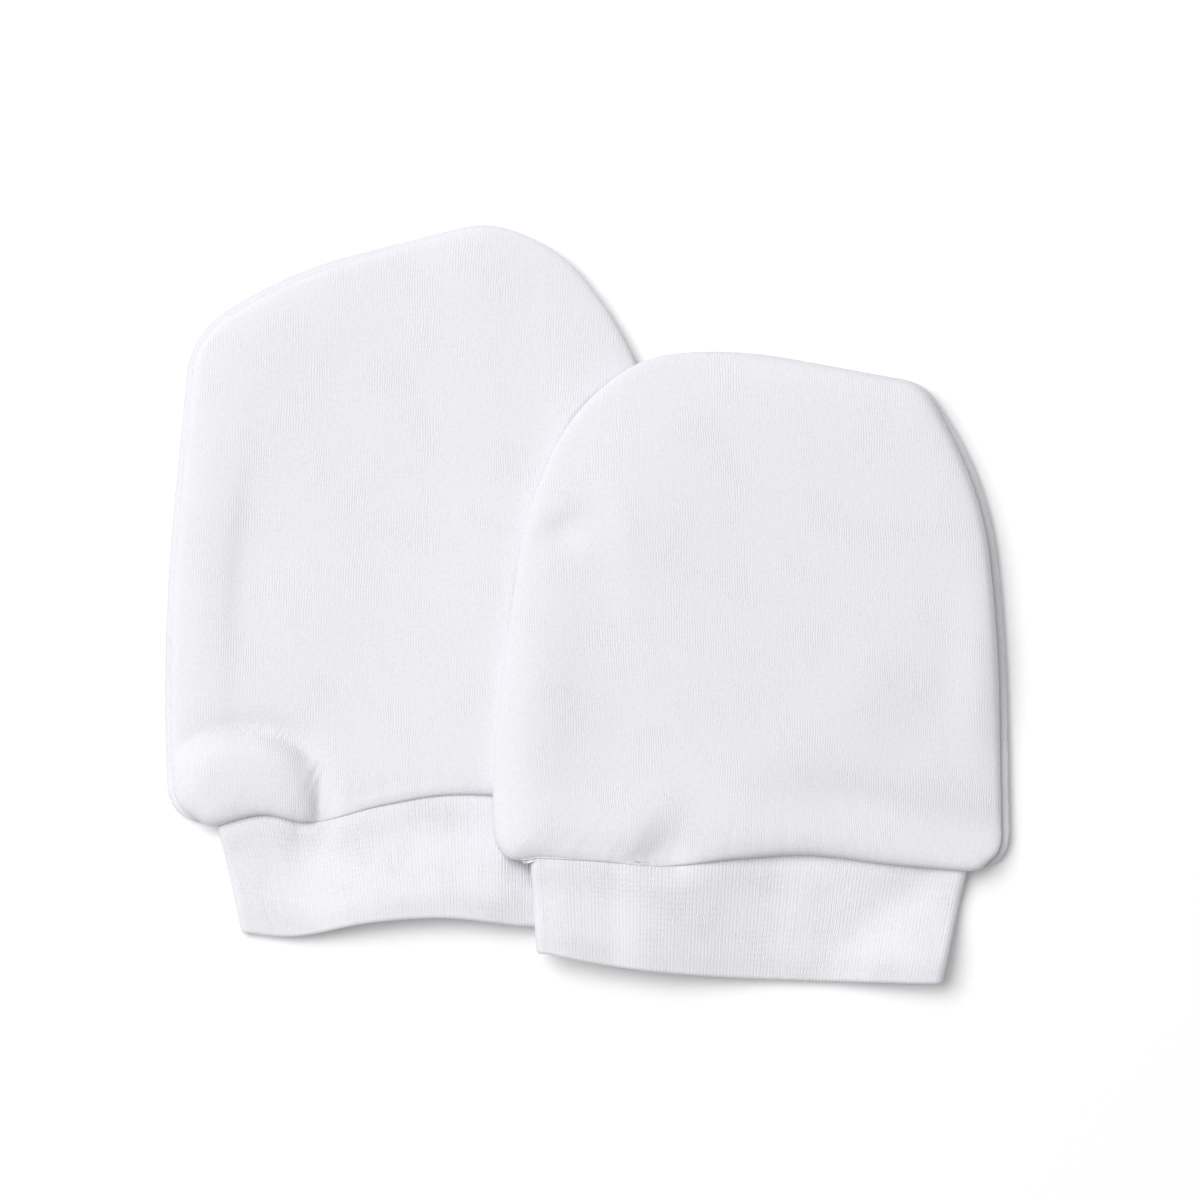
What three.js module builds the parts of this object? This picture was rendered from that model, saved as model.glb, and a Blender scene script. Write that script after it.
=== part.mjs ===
// Pair of newborn scratch mittens in white cotton knit, laid flat, the right one
// overlapping the left one. Millimetres, +Z up, the surface they lie on is z = 0.
// Each mitten is a front panel, a back panel and a folded cuff band.
import * as THREE from 'three';

// ---------------------------------------------------------------- driving sizes
const panelWall = 1.0;      // body cloth
const cuffWall = 1.2;       // folded band, both layers
const seamGap = 0.3;        // air left between two sewn pieces
const slack = 0.25;         // more air where a seam bends
const seamHeight = 2.3;     // side seam above the surface a mitten lies on
const flatHeight = 5.6;     // body near its seam, top of cloth
const cuffLap = 2.5;        // cuff end inside the body
const cuffFlat = 2.9;       // cuff where it is pressed flat
const cuffPuff = 7.0;       // cuff where its mouth stands open, at the seam
const cuffFlare = 1.3;      // and how much more at its folded end
const around = 70;          // points round a panel
const halfWidth = 41;       // middle of a panel to its side, for the rim rows
const hemSpan = 70;         // between the first and last row of a hem table
const liftHigh = 6.8;       // right mitten raised by the left body
const liftLow = 4.3;        // right mitten raised by the left cuff

// the rim of a panel: inward from the edge, share of the height gained
const frontRows = [
  { inward: 0.0, gained: 0.0 },
  { inward: 0.3, gained: 0.42 },
  { inward: 1.1, gained: 0.76 },
  { inward: 2.6, gained: 0.93 },
  { inward: 5.5, gained: 1.0 },
  { inward: 11.0, gained: 1.0 },
  { inward: 17.0, gained: 1.0 },
  { inward: 24.0, gained: 1.0 },
  { inward: 32.0, gained: 1.0 },
];
const frontInner = [0, 2, 4, 5, 7];
const backRows = [
  { inward: 0.0, gained: 0.0 },
  { inward: 0.3, gained: 0.46 },
  { inward: 1.2, gained: 0.85 },
  { inward: 2.6, gained: 1.0 },
  { inward: 10.0, gained: 1.0 },
  { inward: 19.0, gained: 1.0 },
  { inward: 29.0, gained: 1.0 },
];
const backInner = [0, 2, 3, 4, 5, 6];

// ---------------------------------------------------------------- the two mittens
// corners of the cut outline, with how far each is rounded; along = 0 is the hem
const left = {
  place: { x: -24.6, y: -33.1 },
  middle: { x: -2, y: 42 },
  corners: [
    { across: -42.0, along: -1.6, round: 6.5 },
    { across: -43.2, along: 27, round: 22 },
    { across: -38.5, along: 76.5, round: 7 },
    { across: -22.5, along: 86.4, round: 11 },
    { across: 9.4, along: 94.6, round: 5 },
    { across: 20.5, along: 89.8, round: 5.5 },
    { across: 29.8, along: 78.5, round: 8.5 },
    { across: 37.5, along: 60, round: 11 },
    { across: 39.8, along: 30, round: 16 },
    { across: 39.6, along: 1.5, round: 7 },
  ],
  hem: [
    { across: -35, along: -2.6 },
    { across: -27, along: -0.6 },
    { across: -19.5, along: -1.8 },
    { across: -8, along: 1.0 },
    { across: 3, along: 2.8 },
    { across: 20, along: 2.2 },
    { across: 35, along: 1.6 },
  ],
  cuffEdge: [
    { across: -31, along: -19.2 },
    { across: -22, along: -19.9 },
    { across: -10, along: -17.6 },
    { across: 2, along: -16.8 },
    { across: 16, along: -18.2 },
    { across: 31, along: -18.6 },
  ],
  cuffAtSeam: { from: -34.8, to: 33.8 },
  cuffAtEdge: { from: -30.4, to: 31.5 },
  puff: { from: -38, full: -25, upTo: -7, to: 9 },
  puffHigh: 3.0,
  hemHigh: 1.6,
  cuffArch: 1.3,
  folds: [
    { across: -31.0, along: 5.5, long: 9.0, wide: 6.0, turn: 5, high: 1.5 },
    { across: -17.5, along: 3.0, long: 5.0, wide: 3.0, turn: 70, high: -1.3 },
    { across: -37.0, along: 49.0, long: 17.0, wide: 2.6, turn: 84, high: -0.7 },
  ],
};
const right = {
  place: { x: 26.6, y: -41.1 },
  middle: { x: 11, y: 38 },
  corners: [
    { across: -41.2, along: 0.0, round: 6.0 },
    { across: -41.5, along: 19, round: 12 },
    { across: -36.4, along: 55, round: 9 },
    { across: -29.0, along: 72.0, round: 8.5 },
    { across: -17.5, along: 80.6, round: 5.5 },
    { across: -3.0, along: 82.0, round: 9 },
    { across: 27.8, along: 76.6, round: 4 },
    { across: 37.8, along: 60, round: 12 },
    { across: 40.4, along: 36, round: 11.5 },
    { across: 41.1, along: -0.8, round: 6 },
  ],
  hem: [
    { across: -35, along: 1.1 },
    { across: -24, along: 0.4 },
    { across: -14, along: -0.4 },
    { across: -2, along: 0.7 },
    { across: 9, along: 1.2 },
    { across: 22, along: -0.3 },
    { across: 35, along: -1.5 },
  ],
  cuffEdge: [
    { across: -34, along: -14.2 },
    { across: -22.7, along: -16.4 },
    { across: -8.3, along: -18.0 },
    { across: 7.7, along: -18.9 },
    { across: 30, along: -19.3 },
  ],
  cuffAtSeam: { from: -35.6, to: 34.9 },
  cuffAtEdge: { from: -34.4, to: 30.2 },
  puff: { from: -18, full: 8, upTo: 24, to: 37 },
  puffHigh: 3.0,
  hemHigh: 1.6,
  cuffArch: 0,
  folds: [
    { across: -13.5, along: 4.0, long: 6.5, wide: 3.6, turn: 35, high: -1.5 },
    { across: -31.0, along: 58.0, long: 8.0, wide: 5.0, turn: 60, high: 1.1 },
    { across: 14.0, along: 13.0, long: 24.0, wide: 5.0, turn: -16, high: -0.7 },
  ],
};

// ---------------------------------------------------------------- small helpers
function smooth(low, high, x) {
  const t = Math.min(1, Math.max(0, (x - low) / (high - low)));
  return t * t * (3 - 2 * t);
}

function mix(a, b, t) {
  return a + (b - a) * t;
}

// height of a smooth line through the rows of a table
function through(rows, across) {
  const last = rows.length - 1;
  const x = Math.min(rows[last].across, Math.max(rows[0].across, across));
  let i = 0;
  while (i < last - 1 && rows[i + 1].across < x) {
    i += 1;
  }
  const slope = (k) => {
    const a = rows[Math.max(0, k - 1)];
    const b = rows[Math.min(last, k + 1)];
    return (b.along - a.along) / (b.across - a.across);
  };
  const h = rows[i + 1].across - rows[i].across;
  const t = (x - rows[i].across) / h;
  const s = 1 - t;
  const start = rows[i].along * (1 + 2 * t) * s * s + h * slope(i) * t * s * s;
  const end = rows[i + 1].along * (3 - 2 * t) * t * t - h * slope(i + 1) * s * t * t;
  return start + end;
}

// the cut outline, evenly spaced points, clockwise seen from above
function outline(mitten) {
  const dense = [];
  const corners = mitten.corners;
  const count = corners.length;
  corners.forEach((corner, i) => {
    const p = new THREE.Vector2(corner.across, corner.along);
    const before = corners[(i + count - 1) % count];
    const after = corners[(i + 1) % count];
    const back = new THREE.Vector2(before.across, before.along).sub(p).setLength(corner.round);
    const ahead = new THREE.Vector2(after.across, after.along).sub(p).setLength(corner.round);
    for (let k = 0; k <= 12; k += 1) {
      const t = k / 12;
      const a = (1 - t) * (1 - t);
      const b = t * t;
      dense.push(p.clone().addScaledVector(back, a).addScaledVector(ahead, b));
    }
  });
  const steps = dense.map((p, i) => p.distanceTo(dense[(i + 1) % dense.length]));
  const total = steps.reduce((a, b) => a + b, 0);
  const points = [];
  for (let i = 0; i < around; i += 1) {
    let rest = (total * i) / around;
    let k = 0;
    while (rest > steps[k]) {
      rest -= steps[k];
      k += 1;
    }
    const next = dense[(k + 1) % dense.length];
    points.push(dense[k].clone().lerp(next, rest / steps[k]));
  }
  const hemAt = (x) => {
    const a = mitten.hem[0];
    return through(mitten.hem, x) - mix(corners[0].along, corners[count - 1].along, (x - a.across) / hemSpan);
  };
  points.forEach((p) => {
    const inside = 1 - smooth(33, 40, Math.abs(p.x));
    p.y += hemAt(p.x) * inside * (1 - smooth(4, 22, p.y));
  });
  return points;
}

function puffAt(mitten, x) {
  const p = mitten.puff;
  return smooth(p.from, p.full, x) * (1 - smooth(p.upTo, p.to, x));
}

function foldsAt(mitten, x, y) {
  let high = 0;
  mitten.folds.forEach((fold) => {
    const turn = THREE.MathUtils.degToRad(fold.turn);
    const dx = x - fold.across;
    const dy = y - fold.along;
    const u = (dx * Math.cos(turn) + dy * Math.sin(turn)) / fold.long;
    const v = (dy * Math.cos(turn) - dx * Math.sin(turn)) / fold.wide;
    high += fold.high * Math.exp(-u * u - v * v);
  });
  return high;
}

// height of the thing a mitten lies on: the table, or the left mitten
function under(mitten, x, y) {
  if (mitten === left) {
    return 0;
  }
  const wx = x + mitten.place.x;
  const wy = y + mitten.place.y;
  const low = mix(liftLow, liftHigh, smooth(-39.5, -32.5, wy));
  return low * (1 - smooth(13, 31, wx));
}

// cuff: underside, and how high the band stands above it
function cuffUnder(mitten, x, y) {
  const seam = panelWall + seamGap + slack;
  const below = through(mitten.hem, x) - y;
  const arch = mitten.cuffArch * smooth(3, 16, below) * puffAt(mitten, x);
  return seam * (1 - smooth(0.6, 5, below)) + arch;
}

function cuffHigh(mitten, x, y) {
  const below = through(mitten.hem, x) - y;
  const open = cuffPuff + cuffFlare * smooth(0.6, 5, below);
  return mix(cuffFlat, open, puffAt(mitten, x));
}

function topOf(mitten, x, y) {
  const nearHem = 1 - smooth(2, 24, y);
  const puff = puffAt(mitten, x);
  const sides = 0.55 * nearHem;
  return flatHeight + sides + puff * (mitten.puffHigh + mitten.hemHigh * nearHem) + foldsAt(mitten, x, y);
}

// ---------------------------------------------------------------- solids
function piece(name, colour, positions, faces, place) {
  const geometry = new THREE.BufferGeometry();
  const numbers = [];
  positions.forEach((p) => numbers.push(p.x + place.x, p.y + place.y, p.z));
  geometry.setAttribute('position', new THREE.Float32BufferAttribute(numbers, 3));
  geometry.setIndex(faces.flat());
  geometry.computeVertexNormals();
  const material = new THREE.MeshStandardMaterial({ color: colour, roughness: 0.95, metalness: 0 });
  const mesh = new THREE.Mesh(geometry, material);
  mesh.name = name;
  return mesh;
}

// normals of a grid of rings that closes in one middle point
function ringNormals(rings, centre, sign) {
  return rings.map((ring, k) => ring.map((p, i) => {
    const outer = rings[Math.max(0, k - 1)][i];
    const inner = k + 1 < rings.length ? rings[k + 1][i] : centre;
    const ahead = ring[(i + 1) % ring.length];
    const back = ring[(i + ring.length - 1) % ring.length];
    const inward = inner.clone().sub(outer);
    const alongRing = ahead.clone().sub(back);
    return inward.cross(alongRing).normalize().multiplyScalar(sign);
  }));
}

function closeShell(name, colour, rings, centre, innerPick, sign, flatEdge, place) {
  const normals = ringNormals(rings, centre, sign);
  normals[0].forEach((n, i) => {
    const run = rings[0][(i + 1) % around].clone().sub(rings[0][(i + around - 1) % around]);
    const level = new THREE.Vector3(-run.y, run.x, 0).normalize();
    n.lerp(level, flatEdge[i]).normalize();
  });
  const positions = [];
  const faces = [];
  const outerAt = (k, i) => k * around + (i % around);
  rings.forEach((ring) => ring.forEach((p) => positions.push(p)));
  const middleOut = positions.push(centre) - 1;
  const start = positions.length;
  innerPick.forEach((k) => {
    rings[k].forEach((p, i) => {
      positions.push(p.clone().addScaledVector(normals[k][i], -panelWall));
    });
  });
  const middleIn = positions.push(centre.clone().add(new THREE.Vector3(0, 0, -sign * panelWall))) - 1;
  const innerAt = (k, i) => start + k * around + (i % around);
  const put = (a, b, c) => faces.push(sign > 0 ? [a, b, c] : [a, c, b]);
  const lastOut = rings.length - 1;
  const lastIn = innerPick.length - 1;
  for (let i = 0; i < around; i += 1) {
    for (let k = 0; k < lastOut; k += 1) {
      put(outerAt(k, i), outerAt(k + 1, i), outerAt(k + 1, i + 1));
      put(outerAt(k, i), outerAt(k + 1, i + 1), outerAt(k, i + 1));
    }
    put(outerAt(lastOut, i), middleOut, outerAt(lastOut, i + 1));
    for (let k = 0; k < lastIn; k += 1) {
      put(innerAt(k, i), innerAt(k + 1, i + 1), innerAt(k + 1, i));
      put(innerAt(k, i), innerAt(k, i + 1), innerAt(k + 1, i + 1));
    }
    put(innerAt(lastIn, i), innerAt(lastIn, i + 1), middleIn);
    put(outerAt(0, i), innerAt(0, i + 1), innerAt(0, i));
    put(outerAt(0, i), outerAt(0, i + 1), innerAt(0, i + 1));
  }
  return piece(name, colour, positions, faces, place);
}

// how far a point of the edge belongs to the side seam (1) or to the cuff seam (0)
function sideShare(mitten, p) {
  const half = (p.x < 0 ? -mitten.cuffAtSeam.from : mitten.cuffAtSeam.to) + 1.1;
  const high = smooth(6, 11, p.y);
  return Math.max(high, smooth(half, half + 2.0, Math.abs(p.x)));
}

function inwards(mitten, p, distance) {
  const middle = new THREE.Vector2(mitten.middle.x, mitten.middle.y);
  const way = middle.clone().sub(p);
  return p.clone().addScaledVector(way, distance / halfWidth);
}

function frontPanel(name, colour, mitten) {
  const edge = outline(mitten);
  const rings = frontRows.map((row) => edge.map((p) => {
    const at = inwards(mitten, p, row.inward);
    const side = sideShare(mitten, p);
    const hemY = through(mitten.hem, at.x) + 1;
    const overCuff = cuffUnder(mitten, at.x, hemY) + cuffHigh(mitten, at.x, hemY) + seamGap + 2 * slack;
    const low = mix(overCuff, seamHeight + seamGap / 2, side);
    const least = row.inward < 6 ? low + 1.2 : 0;
    const z = mix(low, Math.max(least, topOf(mitten, at.x, at.y)), row.gained);
    return new THREE.Vector3(at.x, at.y, z + under(mitten, at.x, at.y));
  }));
  const m = mitten.middle;
  const centre = new THREE.Vector3(m.x, m.y, topOf(mitten, m.x, m.y) + under(mitten, m.x, m.y));
  const flatEdge = edge.map(() => 1);
  return closeShell(name, colour, rings, centre, frontInner, 1, flatEdge, mitten.place);
}

function backPanel(name, colour, mitten) {
  const edge = outline(mitten);
  const rings = backRows.map((row) => edge.map((p) => {
    const at = inwards(mitten, p, row.inward);
    const side = sideShare(mitten, p);
    const z = mix((seamHeight - seamGap / 2) * side, 0, row.gained);
    return new THREE.Vector3(at.x, at.y, z + under(mitten, at.x, at.y));
  }));
  const m = mitten.middle;
  const centre = new THREE.Vector3(m.x, m.y, under(mitten, m.x, m.y));
  const flatEdge = edge.map((p) => sideShare(mitten, p));
  return closeShell(name, colour, rings, centre, backInner, -1, flatEdge, mitten.place);
}

// one band sewn into a ring and folded: rows run from the seam down to the fold
const cuffRows = [
  { down: 0.0, round: 0 },
  { down: 0.11, round: 0 },
  { down: 0.24, round: 0 },
  { down: 0.42, round: 0 },
  { down: 0.62, round: 0 },
  { down: 0.82, round: 0 },
  { down: 0.96, round: 0.05 },
  { down: 0.988, round: 0.22 },
  { down: 1.0, round: 0.5 },
];
const bandStations = 17;

function cuff(name, colour, mitten) {
  const section = (down, depth) => {
    const from = mix(mitten.cuffAtSeam.from, mitten.cuffAtEdge.from, down);
    const to = mix(mitten.cuffAtSeam.to, mitten.cuffAtEdge.to, down);
    const r = cuffFlat / 2;
    const points = [];
    const add = (x, part, out) => {
      const seam = through(mitten.hem, x) + cuffLap;
      const y = mix(seam, through(mitten.cuffEdge, x), down);
      const low = cuffUnder(mitten, x, y) + under(mitten, x, y);
      const high = low + cuffHigh(mitten, x, y);
      points.push({ x: x + out, y, low, high, part });
    };
    for (let i = 0; i < bandStations; i += 1) {
      add(mix(from + r, to - r, i / (bandStations - 1)), 'top', 0);
    }
    [60, 30, 0, -30, -60].forEach((turn) => add(to - r, turn, 1));
    for (let i = bandStations - 1; i >= 0; i -= 1) {
      add(mix(from + r, to - r, i / (bandStations - 1)), 'bottom', 0);
    }
    [-60, -30, 0, 30, 60].forEach((turn) => add(from + r, turn, -1));
    return points.map((p) => {
      const mid = (p.low + p.high) / 2;
      if (p.part === 'top') {
        return new THREE.Vector3(p.x, p.y, p.high - depth);
      }
      if (p.part === 'bottom') {
        return new THREE.Vector3(p.x, p.y, p.low + depth);
      }
      const turn = THREE.MathUtils.degToRad(p.part);
      const side = p.x > (from + to) / 2 ? 1 : -1;
      const x = p.x - side + side * (r - depth) * Math.cos(turn);
      return new THREE.Vector3(x, p.y, mid + ((p.high - p.low) / 2 - depth) * Math.sin(turn));
    });
  };
  const loops = cuffRows.map((row) => section(row.down, row.round * cuffWall));
  for (let k = cuffRows.length - 2; k >= 0; k -= 2) {
    const row = cuffRows[k];
    loops.push(section(row.down, (1 - row.round) * cuffWall));
  }
  const count = loops[0].length;
  const positions = loops.flat();
  const faces = [];
  const at = (k, i) => (k % loops.length) * count + (i % count);
  for (let k = 0; k < loops.length; k += 1) {
    for (let i = 0; i < count; i += 1) {
      faces.push([at(k, i), at(k + 1, i), at(k + 1, i + 1)]);
      faces.push([at(k, i), at(k + 1, i + 1), at(k, i + 1)]);
    }
  }
  return piece(name, colour, positions, faces, mitten.place);
}

// ---------------------------------------------------------------- the pair
const group = new THREE.Group();
group.name = 'pair_of_baby_mittens';
group.add(backPanel('left_back', 0xe9e9ee, left));
group.add(cuff('left_cuff', 0xf0eff4, left));
group.add(frontPanel('left_front', 0xedecf2, left));
group.add(backPanel('right_back', 0xe9e9ee, right));
group.add(cuff('right_cuff', 0xf0eff4, right));
group.add(frontPanel('right_front', 0xedecf2, right));

// origin: middle of the underside
const box = new THREE.Box3().setFromObject(group);
const shift = new THREE.Vector3(-(box.min.x + box.max.x) / 2, -(box.min.y + box.max.y) / 2, -box.min.z);
group.children.forEach((mesh) => mesh.geometry.translate(shift.x, shift.y, shift.z));

export default group;
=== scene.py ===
import math
from collections import namedtuple

import bpy
import numpy as np
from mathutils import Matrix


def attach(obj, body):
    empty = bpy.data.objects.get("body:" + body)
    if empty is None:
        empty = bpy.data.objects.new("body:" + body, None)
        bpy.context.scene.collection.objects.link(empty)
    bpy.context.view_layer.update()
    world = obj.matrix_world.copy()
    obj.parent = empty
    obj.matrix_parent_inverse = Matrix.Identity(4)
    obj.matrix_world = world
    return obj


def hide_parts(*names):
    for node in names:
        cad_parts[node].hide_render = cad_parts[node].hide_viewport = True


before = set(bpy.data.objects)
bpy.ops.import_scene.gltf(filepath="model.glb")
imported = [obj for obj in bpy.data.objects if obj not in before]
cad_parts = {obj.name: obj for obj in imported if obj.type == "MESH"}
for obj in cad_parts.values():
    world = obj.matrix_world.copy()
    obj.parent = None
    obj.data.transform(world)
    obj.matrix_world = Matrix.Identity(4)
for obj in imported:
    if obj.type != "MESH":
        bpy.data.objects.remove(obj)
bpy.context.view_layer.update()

# A pair of newborn scratch mittens in white cotton knit, laid flat, the right one
# over the left one. Sizes below are in millimetres in each mitten's own plan:
# across from its middle, along from its hem towards the finger end.
MM = 0.001

# cloth
CLOTH = 0.6            # body knit
BAND = 0.55            # one layer of the folded cuff
BAND_GAP = 0.1         # air between a cuff's two layers
BAND_LENGTH = 140.0    # a cuff band, all the way round
CUFF_RIBS = 250        # wales round a cuff
RIB_HEIGHT = 0.028     # of a wale above and below the band's face

# body
HALF_WIDTH = 41        # of a body
HEM_SPAN = 70          # of a body's hem, from side to side
SEAM_LINE = 2.3        # side seam above the surface a mitten lies on
SEAM_SINKS = 0.2       # by this share of the height under it, where one mitten lies on the other
SEAM_SIDE = 0.05       # a sewn edge keeps this far above or below the seam line
HEM_LIFT = 0.08        # the front's hem above its cuff
HEM_ROLL = 0.36        # least height that the front rolls up at its hem
SIDE_ROLL = 1.0        # and at its side seam
EDGE_REACH = (1.5, 8)  # how far from the edge these hold, and where they have faded out
SQUARE_RIM = 1.8       # the rim runs square to the edge so far in, then towards the middle

# cuff
TUCKED_IN = 2.5        # how far a cuff goes up inside the body
CUFF_UNDER = 1.0       # underside of a cuff where it is sewn in
CUFF_TALL = 2.7        # a cuff's height at its side edges
CUFF_BEND = 1.45       # radius of a cuff's side edges, seen along the arm
FLAT_CUFF = 2.3        # a cuff is never flatter than this
FOLD_SHARE = 0.03      # of a cuff's length taken up by the turn of its fold

# where the right mitten lies on the left one
PRESSED_BODY = 3.9     # top of the left front
PRESSED_CUFF = 2.35    # height of the left cuff
ON_BODY = 4.7          # underside of the right mitten over the left body
ON_CUFF = 4.35         # and over the left cuff

# how fine the meshes are
FRONT_POINTS = 560     # round a front panel
BACK_POINTS = 360      # round a back panel
RIM_RINGS = 22         # in a panel's rim
BODY_RINGS = 44        # from a panel's rim to its middle
RIB_POINTS = 4         # across one wale
CORNER_STEPS = 25      # round each corner of an outline
CREASE_STEPS = 160     # along a crease

Corner = namedtuple("Corner", "across along round")
At = namedtuple("At", "across along")
# a crease runs from start by way of bend to end; high is its height in the middle,
# left and right are how far it spreads on each side, first and last its height at the ends
Crease = namedtuple("Crease", "start bend end high left right first last")
# a puffed place: its middle, half its width and length, and its height
Bulge = namedtuple("Bulge", "across along wide long high")
# how high a cuff's open edge arches, and from where to where across it rises and falls
Arch = namedtuple("Arch", "high rises falls")
# lip: how far the front's rim stands in from the seam; roll: 1 where the front rises slowly
# from its side seam; crown: height of its top; all three across the mitten
Mitten = namedtuple(
    "Mitten",
    "name place middle corners hem cuff_edge cuff_seam cuff_fold lip roll crown hem_rise tip_drop"
    " creases bulges puff arch cuff_creases lean puckers",
)

left = Mitten(
    name="left",
    place=(-24.6, -33.1),
    middle=(-2, 42),
    corners=[
        Corner(-42.0, -1.6, 6.5),
        Corner(-43.2, 27, 22),
        Corner(-38.5, 76.5, 7),
        Corner(-22.5, 86.4, 11),
        Corner(9.4, 94.6, 5),
        Corner(20.5, 89.8, 5.5),
        Corner(29.8, 78.5, 8.5),
        Corner(37.5, 60, 11),
        Corner(39.8, 30, 16),
        Corner(39.6, 1.5, 7),
    ],
    hem=[
        At(-35, -2.6),
        At(-27, -0.6),
        At(-19.5, -1.8),
        At(-8, 1.0),
        At(3, 2.8),
        At(20, 2.2),
        At(35, 1.6),
    ],
    cuff_edge=[
        At(-31, -19.2),
        At(-22, -19.9),
        At(-10, -17.6),
        At(2, -16.8),
        At(16, -18.2),
        At(31, -18.6),
    ],
    cuff_seam=(-34.8, 33.8),
    cuff_fold=(-30.4, 31.5),
    lip=[At(-50, 0.9), At(-20, 1.0), At(6, 0.5), At(14, 0.1), At(50, 0.0)],
    roll=[At(-50, 1.0), At(8, 1.0), At(24, 0.4), At(50, 0.2)],
    crown=[At(-42, 5.1), At(-26, 4.6), At(-7, 4.1), At(10, 4.3), At(40, 4.4)],
    hem_rise=0.15,
    tip_drop=0.5,
    creases=[
        # soft step inside the left side
        Crease((-30.5, 16), (-31.0, 38), (-26.5, 62), -0.8, 3.0, 9.5, 0.4, 0.2),
        # groove over the top of the puffed fold, and down its end
        Crease((-37, 10.8), (-17.5, 17.8), (-17.4, -1.5), -1.2, 2.8, 1.7, 0.5, 0.9),
        # long rise towards the mitten that lies on it
        Crease((14, -6), (14, 26), (24, 60), 1.6, 21, 20, 1.0, 0.1),
        # and the short steep rise at its edge
        Crease((12.0, -6), (14.5, 32), (22.0, 62), 0.9, 3.2, 12, 0.9, 0.5),
    ],
    bulges=[Bulge(-30.6, 0.6, 12.3, 12.6, 2.0)],
    puff=0.3,
    arch=Arch(3.3, rises=(-27, -8), falls=(9, 24)),
    cuff_creases=[
        # pinch under the end of the puffed fold, and the swell left of it
        Crease((-18.2, 3), (-18.6, -4), (-21.5, -9), -1.3, 3.4, 3.0, 1.0, 0.1),
        Crease((-30, -1), (-27, -4), (-26, -12), 0.35, 5, 5, 1.0, 0.1),
    ],
    lean=(2.2, 0.03),
    puckers=11,
)
right = Mitten(
    name="right",
    place=(26.6, -41.1),
    middle=(4, 38),
    corners=[
        Corner(-41.2, 0.0, 6.0),
        Corner(-41.5, 19, 12),
        Corner(-36.4, 55, 9),
        Corner(-29.0, 72.0, 8.5),
        Corner(-17.5, 80.6, 5.5),
        Corner(-3.0, 82.0, 9),
        Corner(27.8, 76.6, 4),
        Corner(37.8, 60, 12),
        Corner(40.4, 36, 11.5),
        Corner(41.1, -0.8, 6),
    ],
    hem=[
        At(-35, 1.1),
        At(-24, 0.4),
        At(-14, -0.4),
        At(-2, 0.7),
        At(9, 1.2),
        At(22, -0.3),
        At(35, -1.5),
    ],
    cuff_edge=[
        At(-34, -14.2),
        At(-22.7, -16.4),
        At(-8.3, -18.0),
        At(7.7, -18.9),
        At(30, -19.3),
    ],
    cuff_seam=(-35.6, 34.9),
    cuff_fold=(-34.4, 30.2),
    lip=[At(-50, 0.0), At(0, 0.0), At(26, 0.3), At(34, 1.1), At(50, 1.2)],
    roll=[At(-50, 1.0), At(-10, 0.9), At(10, 0.4), At(30, 0.0), At(50, 0.0)],
    crown=[At(-42, 8.0), At(-20, 7.9), At(0, 7.75), At(20, 7.5), At(41, 7.1)],
    hem_rise=0.7,
    tip_drop=0.3,
    creases=[
        # high edge where it lies on the other mitten, and the valley behind it
        Crease((-37.5, -2), (-36.8, 26), (-34.0, 51), 1.05, 5.0, 6.8, 0.8, 0.35),
        # bulge over the left end of the cuff, ending in a pinch
        Crease((-38, 3.5), (-30, 5.5), (-19, 4.0), 0.8, 5.5, 5.0, 0.7, 1.0),
        Crease((-17.5, -2.5), (-14.0, 2.0), (-10.5, 6.5), -1.7, 3.8, 4.6, 1.0, 0.2),
        # dimple at the top of the draped edge, and the ridge beside it
        Crease((-33.5, 51.5), (-30, 53.0), (-26.5, 55.3), -0.9, 2.4, 3.0, 0.4, 0.3),
        Crease((-26, 68), (-18, 58), (-17, 34), 0.8, 18, 4.8, 0.3, 0.2),
        # falls away at the upper left, over the edge of the lower mitten
        Crease((-42, 66), (-31, 82), (-12, 88), -0.5, 13, 13, 1.0, 0.6),
        # slope across the lower right
        Crease((-4, 12.5), (14, 10.5), (40, 3.0), -1.7, 5.0, 4.4, 0.0, 1.0),
        Crease((16, 30), (28, 20), (44, 14), -1.2, 10, 13, 0.2, 1.0),
        Crease((22, -5), (41, 3), (46, 22), -1.2, 12, 12, 0.7, 0.7),
        # ridge along the right side
        Crease((35.5, 10), (36.5, 30), (35, 48), 0.6, 3.0, 3.0, 0.2, 0.1),
    ],
    bulges=[],
    puff=0.6,
    arch=Arch(3.0, rises=(10, 28), falls=(60, 70)),
    cuff_creases=[
        # ridge and groove down the left end
        Crease((-31, 0), (-30, -8), (-30, -15), 0.5, 3.5, 5.5, 0.8, 1.0),
        Crease((-21.5, 1), (-22, -8), (-22, -17), -0.28, 2.4, 2.4, 0.6, 1.0),
        # under the body's pinch
        Crease((-14, 4), (-14, 1), (-15, -4), -1.7, 3.6, 3.6, 1.0, 0.0),
        # slanting across the right end
        Crease((13, -14), (20, -10), (27, -3.5), -0.8, 4.0, 3.2, 0.4, 0.9),
    ],
    lean=(-2.4, 0.035),
    puckers=23,
)


# ---------------------------------------------------------------- helpers
def smooth(low, high, x):
    """0 up to low, 1 from high on, and an even S between them."""
    t = np.clip((x - low) / (high - low), 0, 1)
    return t * t * (3 - 2 * t)


def mix(a, b, t):
    """From a to b by the share t."""
    return a + (b - a) * t


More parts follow.
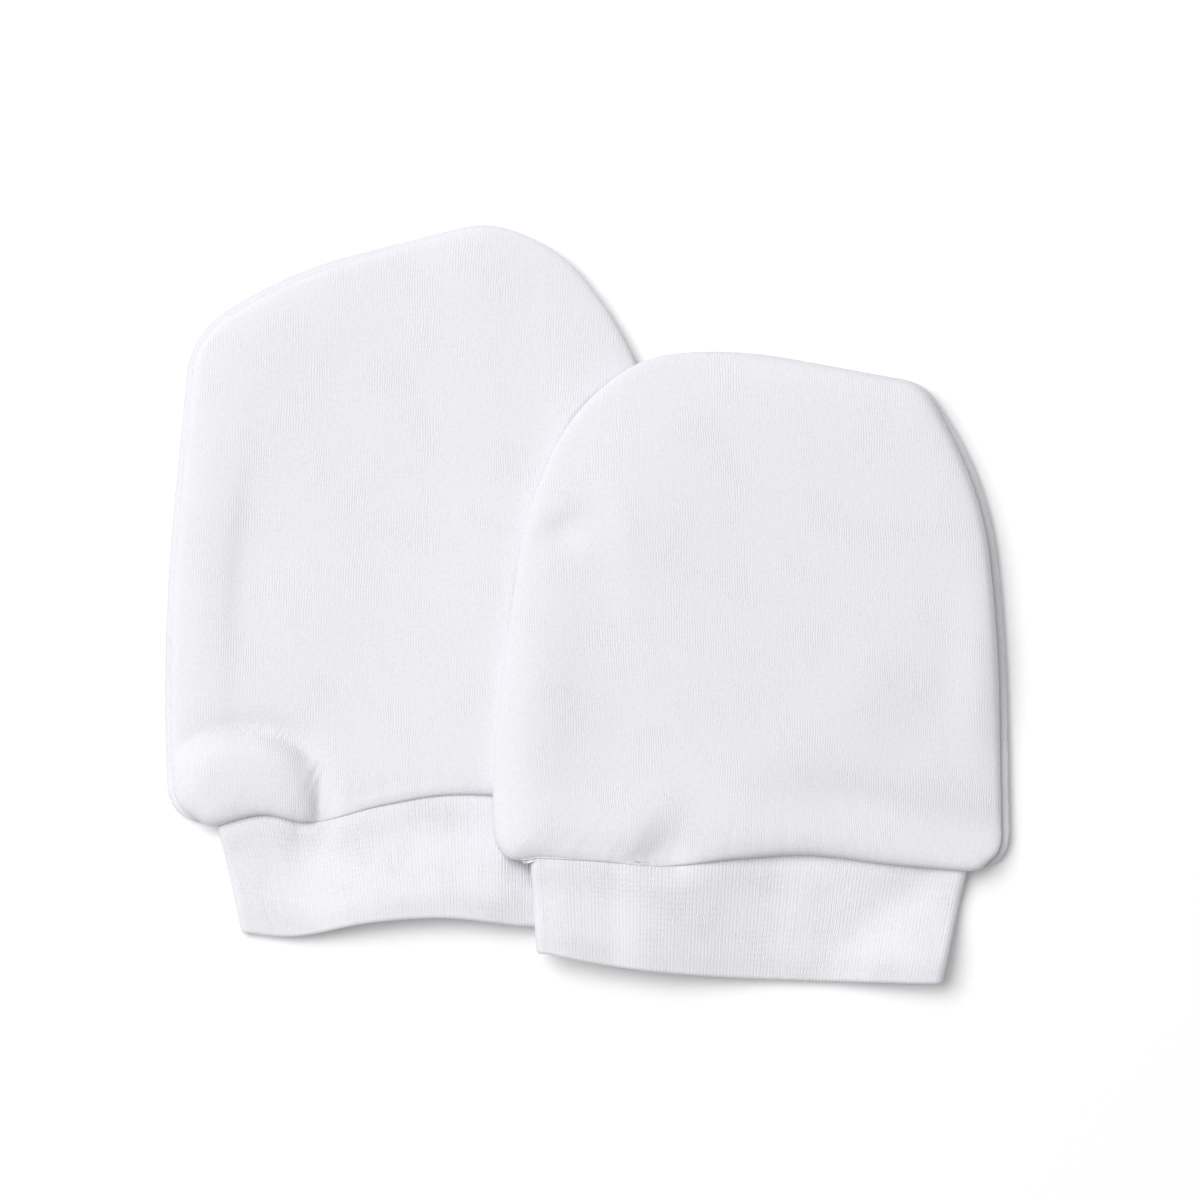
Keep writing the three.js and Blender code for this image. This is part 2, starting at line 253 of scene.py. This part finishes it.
def through(rows, x):
    """Height of a smooth line through the rows of a table."""
    xs = np.array([r.across for r in rows], float)
    ys = np.array([r.along for r in rows], float)
    slope = np.empty_like(ys)
    slope[1:-1] = (ys[2:] - ys[:-2]) / (xs[2:] - xs[:-2])
    slope[0] = (ys[1] - ys[0]) / (xs[1] - xs[0])
    slope[-1] = (ys[-1] - ys[-2]) / (xs[-1] - xs[-2])
    x = np.clip(x, xs[0], xs[-1])
    i = np.clip(np.searchsorted(xs, x) - 1, 0, len(xs) - 2)
    h = xs[i + 1] - xs[i]
    t = (x - xs[i]) / h
    s = 1 - t
    start = ys[i] * (1 + 2 * t) * s * s + h * slope[i] * t * s * s
    return start + ys[i + 1] * (3 - 2 * t) * t * t - h * slope[i + 1] * s * t * t


def cut_outline(mitten, count):
    """The cut edge of a body panel as evenly spaced points, clockwise from above."""
    corners = mitten.corners
    dense = []
    for i, corner in enumerate(corners):
        p = np.array([corner.across, corner.along])
        before = np.array(corners[i - 1][:2]) - p
        after = np.array(corners[(i + 1) % len(corners)][:2]) - p
        before *= corner.round / np.linalg.norm(before)
        after *= corner.round / np.linalg.norm(after)
        for t in np.linspace(0, 1, CORNER_STEPS):
            dense.append(p + before * (1 - t) ** 2 + after * t * t)
    dense = np.array(dense + [dense[0]])
    run = np.concatenate([[0], np.cumsum(np.linalg.norm(np.diff(dense, axis=0), axis=1))])
    at = np.linspace(0, run[-1], count, endpoint=False)
    points = np.stack([np.interp(at, run, dense[:, 0]), np.interp(at, run, dense[:, 1])], 1)
    x, y = points[:, 0], points[:, 1]
    # the hem's own line, fading out at the corners and up the panel
    straight = mix(corners[0].along, corners[-1].along, (x - mitten.hem[0].across) / HEM_SPAN)
    inside = 1 - smooth(33, 40, np.abs(x))
    y += (through(mitten.hem, x) - straight) * inside * (1 - smooth(4, 22, y))
    return points


def outward(points):
    """Outward unit normals of a closed clockwise line."""
    run = np.roll(points, -3, axis=0) - np.roll(points, 3, axis=0)
    n = np.stack([-run[:, 1], run[:, 0]], 1)
    return n / np.linalg.norm(n, axis=1)[:, None]


def creases_at(creases, x, y):
    """Soft troughs and ridges, each falling off to both sides and towards its ends."""
    high = np.zeros_like(x)
    for c in creases:
        t = np.linspace(0, 1, CREASE_STEPS + 1)[:, None]
        start, bend, end = (np.array(p, float) for p in (c.start, c.bend, c.end))
        line = start * (1 - t) ** 2 + 2 * bend * t * (1 - t) + end * t * t
        flow = np.gradient(line, axis=0)
        dx = x[..., None] - line[:, 0]
        dy = y[..., None] - line[:, 1]
        gap = np.hypot(dx, dy)
        near = np.argmin(gap, axis=-1)
        off = np.take_along_axis(gap, near[..., None], -1)[..., 0]
        # 1 square off on the left of the line, -1 on its right, between them beyond its ends
        cross = (flow[:, 0] * dy - flow[:, 1] * dx) / np.hypot(flow[:, 0], flow[:, 1])
        side = np.take_along_axis(cross, near[..., None], -1)[..., 0] / np.maximum(off, 1e-6)
        wide = mix(c.right, c.left, 0.5 + 0.5 * np.clip(side, -1, 1))
        run = near / CREASE_STEPS
        to_first = mix(c.first, 1, smooth(0, 0.5, run))
        to_last = mix(c.last, 1, smooth(1, 0.5, run))
        high += c.high * np.where(run < 0.5, to_first, to_last) * np.exp(-((off / wide) ** 2))
    return high


def bulges_at(bulges, x, y):
    """Nearly level on top, rounding off ever more steeply to the edge."""
    high = np.zeros_like(x)
    for b in bulges:
        u = np.abs(x - b.across) / b.wide
        v = np.abs(y - b.along) / b.long
        square_round = u ** 2.6 + v ** 2.6
        high += b.high * np.clip(1 - square_round ** 1.5, 0, 1) ** 0.6
    return high


def unevenness(seed, x, y, shortest, longest, high, waves=14):
    """Slow hand-made unevenness of cloth that has been laid down."""
    draw = np.random.RandomState(seed)
    total = np.zeros_like(x)
    for _ in range(waves):
        length = draw.uniform(shortest, longest)
        turn = draw.uniform(0, math.pi)
        start = draw.uniform(0, 2 * math.pi)
        total += np.sin(2 * math.pi * (x * math.cos(turn) + y * math.sin(turn)) / length + start)
    return high * total / math.sqrt(waves)


# ---------------------------------------------------------------- how the pair lies
# the right mitten's left edge as it crosses the left one: how far along, and there how far across
COVERED = [
    At(-30, 17.5),
    At(-12, 16.2),
    At(-7, 10.6),
    At(20, 11.0),
    At(47, 14.8),
    At(64, 22.2),
    At(73, 33.0),
]


def pressed(mitten, x, y):
    """1 where the left mitten is flattened under the right one."""
    if mitten.name == "right":
        return np.zeros_like(x)
    return smooth(0.4, 3.2, x - through(COVERED, y))


def lying_on(mitten, x, y):
    """Height of what a mitten's back lies on: the table, or the left mitten."""
    if mitten.name == "left":
        return np.zeros_like(x)
    pair_x, pair_y = x + mitten.place[0], y + mitten.place[1]
    low = mix(ON_CUFF, ON_BODY, smooth(-39.5, -33.5, pair_y))
    # past the left mitten's side it comes down to the table
    return low * (1 - smooth(6, 33, pair_x))


def body_top(mitten, x, y, least):
    """Height of a front panel away from its rim, least being that of its sewn edge."""
    level = through(mitten.crown, x) + mitten.hem_rise * (1 - smooth(2, 20, y))
    level = np.maximum(level - mitten.tip_drop * smooth(45, 88, y), least)
    top = level + creases_at(mitten.creases, x, y) + bulges_at(mitten.bulges, x, y)
    top = top + unevenness(mitten.puckers, x, y, shortest=14, longest=34, high=0.07)
    return mix(top, np.minimum(top, PRESSED_BODY), pressed(mitten, x, y))


def cuff_bottom(mitten, x, y):
    """Height of a cuff's underside: held up where it is sewn in, arched at its open edge."""
    below = through(mitten.hem, x) - y
    high, rises, falls = mitten.arch
    arch = high * smooth(3, 17, below) * smooth(*rises, x) * (1 - smooth(*falls, x))
    return CUFF_UNDER * (1 - smooth(0.6, 6, below)) + arch


def cuff_height(mitten, x, y):
    """A cuff's height above its underside: puffed in the middle, swelling just below the hem."""
    below = through(mitten.hem, x) - y
    open_part = 1 - np.clip(np.abs(x) / 33, 0, 1) ** 2
    swell = 0.5 * smooth(0, 4, below) * (1 - smooth(5, 14, below)) * open_part
    tall = CUFF_TALL + mitten.puff * open_part + swell
    tall = tall + creases_at(mitten.cuff_creases, x, y)
    return np.maximum(mix(tall, PRESSED_CUFF, pressed(mitten, x, y)), FLAT_CUFF)


def over_cuff(mitten, x):
    """Height of the front's hem: it clears the highest of the cuff that it covers."""
    hem_y = through(mitten.hem, x)
    heights = []
    for inside in (2.4, 1.5, 0.6, -0.3):
        y = hem_y + inside
        heights.append(cuff_bottom(mitten, x, y) + cuff_height(mitten, x, y))
    return HEM_LIFT + np.max(heights, axis=0)


# ---------------------------------------------------------------- making cloth
def cloth_piece(name, points, quads, plan, wall, node, look, ring_length=None):
    """One piece of cloth: its outer face from points and quads, thickened inwards by wall, with
    plan as where each point lies in the flat cut."""
    mesh = bpy.data.meshes.new(name)
    mesh.from_pydata((points * MM).tolist(), [], quads)
    uv = mesh.uv_layers.new(name="cloth")
    corner_points = np.array([loop.vertex_index for loop in mesh.loops])
    laid = plan[corner_points]
    if ring_length:
        # the faces that close the ring read on past its end
        by_face = laid.reshape(-1, 4, 2)
        closing = np.ptp(by_face[:, :, 0], axis=1) > ring_length / 2
        low_side = by_face[:, :, 0] < ring_length / 2
        by_face[:, :, 0] += ring_length * (closing[:, None] & low_side)
        laid = by_face.reshape(-1, 2)
    uv.data.foreach_set("uv", (laid * MM).ravel())
    mesh.update()
    piece = bpy.data.objects.new(name, mesh)
    bpy.context.scene.collection.objects.link(piece)
    bpy.ops.object.select_all(action="DESELECT")
    bpy.context.view_layer.objects.active = piece
    piece.select_set(True)
    thick = piece.modifiers.new("wall", "SOLIDIFY")
    thick.thickness = wall * MM
    thick.offset = -1
    bpy.ops.object.modifier_apply(modifier=thick.name)
    bpy.ops.object.shade_smooth()
    piece.data.materials.append(look)
    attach(piece, "root")
    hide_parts(node)
    return piece


def ring_faces(rings, count, up):
    """Four-sided faces between rings of count points; up turns them the other way round."""
    faces = []
    for k in range(rings - 1):
        a = k * count
        b = a + count
        for i in range(count):
            j = (i + 1) % count
            faces.append((a + i, b + i, b + j, a + j) if up else (a + i, a + j, b + j, b + i))
    return faces


# rim of a panel from its seam to its crown: inward from the seam line, share of the height
SIDE_RIM = [
    (0.12, 0.0), (0.0, 0.12), (0.0, 0.34), (0.22, 0.56), (0.75, 0.76), (1.8, 0.90), (4.2, 0.97), (9.0, 1.0),
]
# the same where the cloth rises slowly
SLOW_RIM = [
    (0.12, 0.0), (0.0, 0.10), (0.05, 0.26), (0.45, 0.44), (1.3, 0.61), (3.0, 0.77), (5.6, 0.91), (9.5, 1.0),
]
# and along the hem
HEM_RIM = [
    (0.0, 0.0), (0.0, 0.10), (0.03, 0.24), (0.14, 0.42), (0.5, 0.62), (1.5, 0.80), (3.8, 0.93), (9.0, 1.0),
]
# rim of the panel underneath, from the seam round its edge to the table
UNDER_RIM = [
    (0.45, 1.0), (0.2, 0.95), (0.1, 0.7), (0.15, 0.42), (0.45, 0.14), (1.2, 0.02), (2.8, 0.0), (9.0, 0.0),
]
# and from the hem
UNDER_HEM = [
    (0.3, 0.3), (0.1, 0.26), (0.0, 0.2), (0.1, 0.1), (0.5, 0.04), (1.4, 0.0), (3.0, 0.0), (9.0, 0.0),
]


def finer(rim):
    """A rim's steps inward and its shares of the height, drawn smoothly as RIM_RINGS steps."""
    t = np.linspace(0, len(rim) - 1, RIM_RINGS)
    inward = [At(i, step[0]) for i, step in enumerate(rim)]
    share = [At(i, step[1]) for i, step in enumerate(rim)]
    return through(inward, t), through(share, t)


def eased(values, reach):
    """Evens out a closed row of values over so many neighbours on each side."""
    total, weight = values.copy(), 1.0
    for step in range(1, 3 * reach):
        share = math.exp(-0.5 * (step / reach) ** 2)
        total += share * (np.roll(values, step) + np.roll(values, -step))
        weight += 2 * share
    return total / weight


def side_share(mitten, p):
    """1 where the edge is sewn at the side seam, 0 where it is sewn to the cuff."""
    half = np.where(p[:, 0] < 0, -mitten.cuff_seam[0], mitten.cuff_seam[1]) + 0.6
    return np.maximum(smooth(5, 10, p[:, 1]), smooth(half, half + 3, np.abs(p[:, 0])))


def unrolled(rings):
    """Where each point lies in the flat cut: the middle in place, the rim laid out flat."""
    plan = [None] * len(rings)
    plan[-1] = rings[-1][:, :2].copy()
    for k in range(len(rings) - 2, -1, -1):
        step = rings[k] - rings[k + 1]
        away = rings[k][:, :2] - rings[-1][:, :2]
        away /= np.maximum(np.linalg.norm(away, axis=1), 1e-6)[:, None]
        plan[k] = plan[k + 1] + away * np.linalg.norm(step, axis=1)[:, None]
    return plan


def leaned(mitten, plan):
    """Turns the knit's columns a little about the body's middle, and fans them out."""
    turn, fan = mitten.lean
    x, y = plan[:, 0], plan[:, 1] - 40
    angle = np.radians(turn) + np.radians(fan) * x
    return np.stack([x - y * np.tan(angle), y], 1)


def panel_rings(mitten, front, edge):
    """A panel seen from above, from its seam to its middle, as rings: their points, their share
    of the height, and how far they belong to the side seam rather than to the hem."""
    count = len(edge)
    out = outward(edge)
    sewn = side_share(mitten, edge)
    lip = through(mitten.lip, edge[:, 0]) * sewn
    side_in, side_up = finer(SIDE_RIM if front else UNDER_RIM)
    slow_in, slow_up = finer(SLOW_RIM if front else UNDER_RIM)
    hem_in, hem_up = finer(HEM_RIM if front else UNDER_HEM)
    roll = eased(through(mitten.roll, edge[:, 0]), count // 50)
    middle = np.array(mitten.middle, float)
    rings = []
    for k in range(RIM_RINGS):
        if front:
            # the seam changes sharply from side to hem, the roll above it gradually
            side = eased(sewn, int(round(count / 56 * smooth(0.05, 0.6, side_up[k]))))
            lip_share = math.exp(-side_in[k] / 3.0)
        else:
            side = sewn
            lip_share = max(0.0, side_up[k] - 0.95) / 0.05 - 0.2
        inset = mix(hem_in[k], mix(side_in[k], slow_in[k], roll) + lip * lip_share, side)
        square_in = np.minimum(inset, SQUARE_RIM)
        p = edge - out * square_in[:, None]
        p = p + (middle - edge) * ((inset - square_in) / HALF_WIDTH)[:, None]
        rings.append((p, mix(hem_up[k], mix(side_up[k], slow_up[k], roll), side), side))
    flat_edge = rings[-1][0]
    crown_share = np.full(count, 1.0 if front else 0.0)
    for s in np.linspace(0, 1, BODY_RINGS + 1)[1:-1]:
        rings.append((mix(flat_edge, middle, s), crown_share, side))
    return rings


def hem_tucks(mitten, edge):
    """Small uneven gathers along the hem, from -1 to 1."""
    phases = np.random.RandomState(mitten.puckers).uniform(0, 6.28, 3)
    return sum(np.sin(edge[:, 0] * f + s) for f, s in zip((1.35, 2.1, 3.4), phases)) / 3


def front_heights(mitten, edge, tucks, p, up, side, seam, under):
    """Heights of one ring of a front panel, between its sewn edge and its top."""
    x, y = p[:, 0], p[:, 1]
    low = mix(over_cuff(mitten, x), seam + SEAM_SIDE, side) + under
    floor = low - 8 * smooth(*EDGE_REACH, np.linalg.norm(p - edge, axis=1))
    least = floor + mix(HEM_ROLL, SIDE_ROLL, side)
    top = np.maximum(body_top(mitten, x, y, least), floor + 0.2)
    z = mix(low, top, up)
    z += 0.10 * tucks * (1 - side) * up * np.exp(-np.abs(y - edge[:, 1]) / 3.5)
    return z


def body_panel(mitten, front, name, node, look):
    """A front or back panel, seamed round its side and hem."""
    count = FRONT_POINTS if front else BACK_POINTS
    edge = cut_outline(mitten, count)
    tucks = hem_tucks(mitten, edge)
    solid = []
    for p, up, side in panel_rings(mitten, front, edge):
        under = lying_on(mitten, p[:, 0], p[:, 1])
        seam = SEAM_LINE - SEAM_SINKS * under
        if front:
            z = front_heights(mitten, edge, tucks, p, up, side, seam, under)
        else:
            z = (seam - SEAM_SIDE) * up + under
        solid.append(np.column_stack([p[:, 0] + mitten.place[0], p[:, 1] + mitten.place[1], z]))
    plan = np.concatenate(unrolled(solid))
    points = np.concatenate(solid)
    faces = ring_faces(len(solid), count, front)
    centre = solid[-1].mean(axis=0)
    points = np.vstack([points, centre])
    plan = np.vstack([plan, centre[:2]])
    last = (len(solid) - 1) * count
    tip = len(points) - 1
    for i in range(count):
        j = (i + 1) % count
        faces.append((last + i, tip, last + j) if front else (last + i, last + j, tip))
    local = plan - np.array(mitten.place)
    return cloth_piece(name, points, faces, leaned(mitten, local), CLOTH, node, look)


def flat_ring(turn, half):
    """A ring pressed flat to half its width, run round at an even pace: how far across each point
    is, 1 on top and -1 underneath, and how far it stands out at the two bends."""
    straight = half - CUFF_BEND
    bend = math.pi * CUFF_BEND
    pace = turn / (2 * math.pi) * (4 * straight + 2 * bend)
    first = 2 * straight
    on_top = pace < first
    on_right = (pace >= first) & (pace < first + bend)
    on_bottom = (pace >= first + bend) & (pace < 2 * first + bend)
    on_left = pace >= 2 * first + bend
    right_turn = (pace - first) / CUFF_BEND
    left_turn = (pace - 2 * first - bend) / CUFF_BEND
    x = np.where(on_top, -straight + pace, np.where(on_bottom, straight - (pace - first - bend), 0))
    x = x + np.where(on_right, straight, np.where(on_left, -straight, 0))
    up = np.where(on_top, 1.0, np.where(on_bottom, -1.0, 0.0))
    up = np.where(on_right, np.cos(right_turn), np.where(on_left, -np.cos(left_turn), up))
    ends = np.where(on_right, np.sin(right_turn), np.where(on_left, -np.sin(left_turn), 0.0))
    return x, up, ends


def half_way(ends):
    """Middle and half the length of a stretch."""
    return sum(ends) / 2, (ends[1] - ends[0]) / 2


# how far down a cuff its rings lie, as shares of its length
OUTER_RINGS = (0, 0.08, 0.16, 0.25, 0.34, 0.44, 0.54, 0.64, 0.74, 0.82, 0.88, 0.93, 0.96)
INNER_RINGS = (0.93, 0.85, 0.72, 0.58, 0.44, 0.3, 0.16, 0.04)
FOLD_RINGS = 11


def cuff_band(mitten, name, node, look):
    """A band sewn into a ring and folded in two: down the outside, round the fold, up the inside."""
    count = CUFF_RIBS * RIB_POINTS
    layer = 2 * BAND + BAND_GAP
    outside = [(down, 0.0) for down in OUTER_RINGS]
    fold = [
        (1.0 - FOLD_SHARE + FOLD_SHARE * math.sin(a), layer / 2 - layer / 2 * math.cos(a))
        for a in np.linspace(0, math.pi, FOLD_RINGS)
    ]
    inside = [(down, layer) for down in INNER_RINGS]
    turn = np.linspace(0, 2 * math.pi, count, endpoint=False)
    draw = np.random.RandomState(mitten.puckers + 5)
    uneven = 1 + 0.5 * np.repeat(draw.uniform(-1, 1, CUFF_RIBS), RIB_POINTS)
    seam_middle, seam_half = half_way(mitten.cuff_seam)
    fold_middle, fold_half = half_way(mitten.cuff_fold)
    rings = []
    for down, depth in outside + fold + inside:
        x, up, ends = flat_ring(turn, mix(seam_half, fold_half, down))
        x = x + mix(seam_middle, fold_middle, down)
        y = mix(through(mitten.hem, x) + TUCKED_IN, through(mitten.cuff_edge, x), down)
        low = cuff_bottom(mitten, x, y) + lying_on(mitten, x, y)
        tall = cuff_height(mitten, x, y) - 0.5 * smooth(0.8, 1.0, down)
        inset = depth - RIB_HEIGHT * uneven * np.cos(turn * CUFF_RIBS)
        px = x + ends * (CUFF_BEND - inset)
        z = low + tall / 2 + up * (tall / 2 - inset)
        rings.append(np.column_stack([px + mitten.place[0], y + mitten.place[1], z]))
    points = np.concatenate(rings)
    faces = ring_faces(len(rings), count, True)
    lengths = [0.0]
    for a, b in zip(rings, rings[1:]):
        lengths.append(lengths[-1] + float(np.linalg.norm(b - a, axis=1).mean()))
    around = turn / (2 * math.pi) * BAND_LENGTH
    plan = np.concatenate([np.column_stack([around, np.full(count, -v)]) for v in lengths])
    return cloth_piece(name, points, faces, plan, BAND, node, look, BAND_LENGTH)


# ---------------------------------------------------------------- cloth finish
class Nodes:
    """Short calls for a material's nodes."""

    def __init__(self, name):
        self.material = bpy.data.materials.new(name)
        self.material.use_nodes = True
        self.tree = self.material.node_tree
        self.shader = self.tree.nodes["Principled BSDF"]

    def add(self, kind, **values):
        node = self.tree.nodes.new(kind)
        for key, value in values.items():
            setattr(node, key, value)
        return node

    def link(self, a, b):
        self.tree.links.new(a, b)

    def math(self, operation, a, b=None):
        node = self.add("ShaderNodeMath", operation=operation)
        for slot, value in zip(node.inputs, (a, b)):
            if value is None:
                continue
            if isinstance(value, (int, float)):
                slot.default_value = value
            else:
                self.link(value, slot)
        return node.outputs[0]

    def noise(self, place, scale, detail):
        node = self.add("ShaderNodeTexNoise", noise_dimensions="2D")
        node.inputs["Scale"].default_value = scale
        node.inputs["Detail"].default_value = detail
        self.link(place, node.inputs["Vector"])
        return node

    def spread(self, noise, low, high, least, most):
        node = self.add("ShaderNodeMapRange")
        self.link(noise.outputs["Fac"], node.inputs["Value"])
        for name, value in (("From Min", low), ("From Max", high), ("To Min", least), ("To Max", most)):
            node.inputs[name].default_value = value
        return node.outputs[0]


def knit(name, wale, course, rows, shade_colour, light, depth, fuzz):
    """Columns of slanted stitches, two legs to a column, clearer in some places than in others,
    with a soft fuzz over them. rows is how much the courses show. Noise scales are in waves to
    the metre of flat cloth."""
    n = Nodes(name)
    place = n.add("ShaderNodeUVMap", uv_map="cloth").outputs["UV"]
    # the columns stray a little, quickly and slowly, by reach in metres
    straying = place
    for scale, reach in ((700, 0.0004), (95, 0.0012)):
        wander = n.noise(place, scale, 2)
        moved = n.add("ShaderNodeVectorMath", operation="MULTIPLY_ADD")
        n.link(wander.outputs["Color"], moved.inputs[0])
        moved.inputs[1].default_value = (reach, reach, 0)
        n.link(straying, moved.inputs[2])
        straying = moved.outputs[0]
    split = n.add("ShaderNodeSeparateXYZ")
    n.link(straying, split.inputs[0])
    column = n.math("DIVIDE", split.outputs[0], wale * MM)
    row = n.math("DIVIDE", split.outputs[1], course * MM)
    across = n.math("ABSOLUTE", n.math("SUBTRACT", n.math("FRACT", column), 0.5))
    leg = n.math("SINE", n.math("MULTIPLY", across, 2 * math.pi))
    leg = n.math("POWER", n.math("MAXIMUM", leg, 0.0), 0.6)
    slant = n.math("ADD", row, n.math("MULTIPLY", across, 0.9))
    loop = n.math("SINE", n.math("MULTIPLY", slant, 2 * math.pi))
    clear_columns = n.spread(n.noise(place, 120, 2), 0.35, 0.65, 0.25, 1.15)
    clear_rows = n.spread(n.noise(place, 60, 2), 0.45, 0.65, 0.2 * rows, rows)
    stitch = n.math("ADD", n.math("MULTIPLY", leg, clear_columns), n.math("MULTIPLY", loop, clear_rows))
    hairs = n.noise(place, 2300, 3)
    relief = n.math("ADD", n.math("MULTIPLY", hairs.outputs["Fac"], fuzz), stitch)
    bump = n.add("ShaderNodeBump")
    bump.inputs["Strength"].default_value = 1.0
    bump.inputs["Distance"].default_value = depth * MM
    n.link(relief, bump.inputs["Height"])
    n.link(bump.outputs["Normal"], n.shader.inputs["Normal"])
    # painted shade: the colour darkens towards the low places between the stitches and in the fuzz, with
    # random flecks of tone over it
    flecks = n.spread(n.noise(place, 1500, 3), 0.3, 0.7, -0.3, 0.3)
    tone_and_shade = n.add("ShaderNodeMix", data_type="RGBA")
    n.link(n.math("ADD", n.math("MULTIPLY", relief, 0.6), flecks), tone_and_shade.inputs["Factor"])
    tone_and_shade.inputs[6].default_value = (*shade_colour, 1)
    tone_and_shade.inputs[7].default_value = (*light, 1)
    n.link(tone_and_shade.outputs[2], n.shader.inputs["Base Color"])
    n.shader.inputs["Roughness"].default_value = 0.95
    n.shader.inputs["Specular IOR Level"].default_value = 0.15
    n.shader.inputs["Sheen Weight"].default_value = 0.12
    n.shader.inputs["Sheen Roughness"].default_value = 0.5
    return n.material


# white cotton with a faint cool cast: painted shade between the stitches, and the cloth on them
HOLLOW_SHADE = (0.760, 0.751, 0.790)
LOOP = (0.810, 0.801, 0.840)
# the rib's pair is painted lighter than the body's: painted light that makes up for the shade cast between
# its ribs
RIB_HOLLOW_SHADE = (0.782, 0.773, 0.812)
RIB_LOOP_LIGHTENED = (0.832, 0.823, 0.862)
body_knit = knit("white_interlock", 0.80, 0.72, 0.10, HOLLOW_SHADE, LOOP, 0.045, 0.9)
cuff_knit = knit("white_rib", BAND_LENGTH / CUFF_RIBS, 0.90, 0.30, RIB_HOLLOW_SHADE, RIB_LOOP_LIGHTENED, 0.045, 0.9)

# ---------------------------------------------------------------- the pair
for mitten in (left, right):
    n = mitten.name
    body_panel(mitten, False, n + "_back_cloth", n + "_back", body_knit)
    cuff_band(mitten, n + "_cuff_cloth", n + "_cuff", cuff_knit)
    body_panel(mitten, True, n + "_front_cloth", n + "_front", body_knit)

# ---------------------------------------------------------------- table, light, camera
# metres from here on
TABLE_SIZE = 1.6
ROOM_LIGHT = 0.36
WINDOW_AT = (-0.86, 0.63, 1.86)
WINDOW_SIZE = 1.5
WINDOW_WATTS = 43.0
CAMERA_AT = (0.0023, 0.0008, 1.067)
LENS_MM = 200
SENSOR_MM = 36

bpy.ops.object.select_all(action="DESELECT")
bpy.ops.mesh.primitive_plane_add(size=TABLE_SIZE, location=(0, 0, 0))
table = bpy.context.object
table.name = "table"
paper = Nodes("white_paper")
paper.shader.inputs["Base Color"].default_value = (0.98, 0.98, 0.98, 1)
paper.shader.inputs["Roughness"].default_value = 0.9
paper.shader.inputs["Specular IOR Level"].default_value = 0.1
table.data.materials.append(paper.material)

world = bpy.data.worlds.new("studio")
bpy.context.scene.world = world
world.use_nodes = True
world.node_tree.nodes["Background"].inputs["Color"].default_value = (1, 1, 1, 1)
world.node_tree.nodes["Background"].inputs["Strength"].default_value = ROOM_LIGHT


def soft_box(name, place, size, power):
    """A square lamp aimed at the middle of the table."""
    bpy.ops.object.light_add(type="AREA", location=place)
    lamp = bpy.context.object
    lamp.name = name
    lamp.data.shape = "SQUARE"
    lamp.data.size = size
    lamp.data.energy = power
    aim = -np.array(place)
    lamp.rotation_euler = (
        math.atan2(math.hypot(aim[0], aim[1]), -aim[2]),
        0,
        math.atan2(aim[1], aim[0]) - math.pi / 2,
    )
    return lamp


soft_box("window", WINDOW_AT, WINDOW_SIZE, WINDOW_WATTS)

bpy.ops.object.camera_add(location=CAMERA_AT, rotation=(0, 0, 0))
camera = bpy.context.object
camera.data.lens = LENS_MM
camera.data.sensor_width = SENSOR_MM
bpy.context.scene.camera = camera
bpy.context.scene.view_settings.view_transform = "Standard"
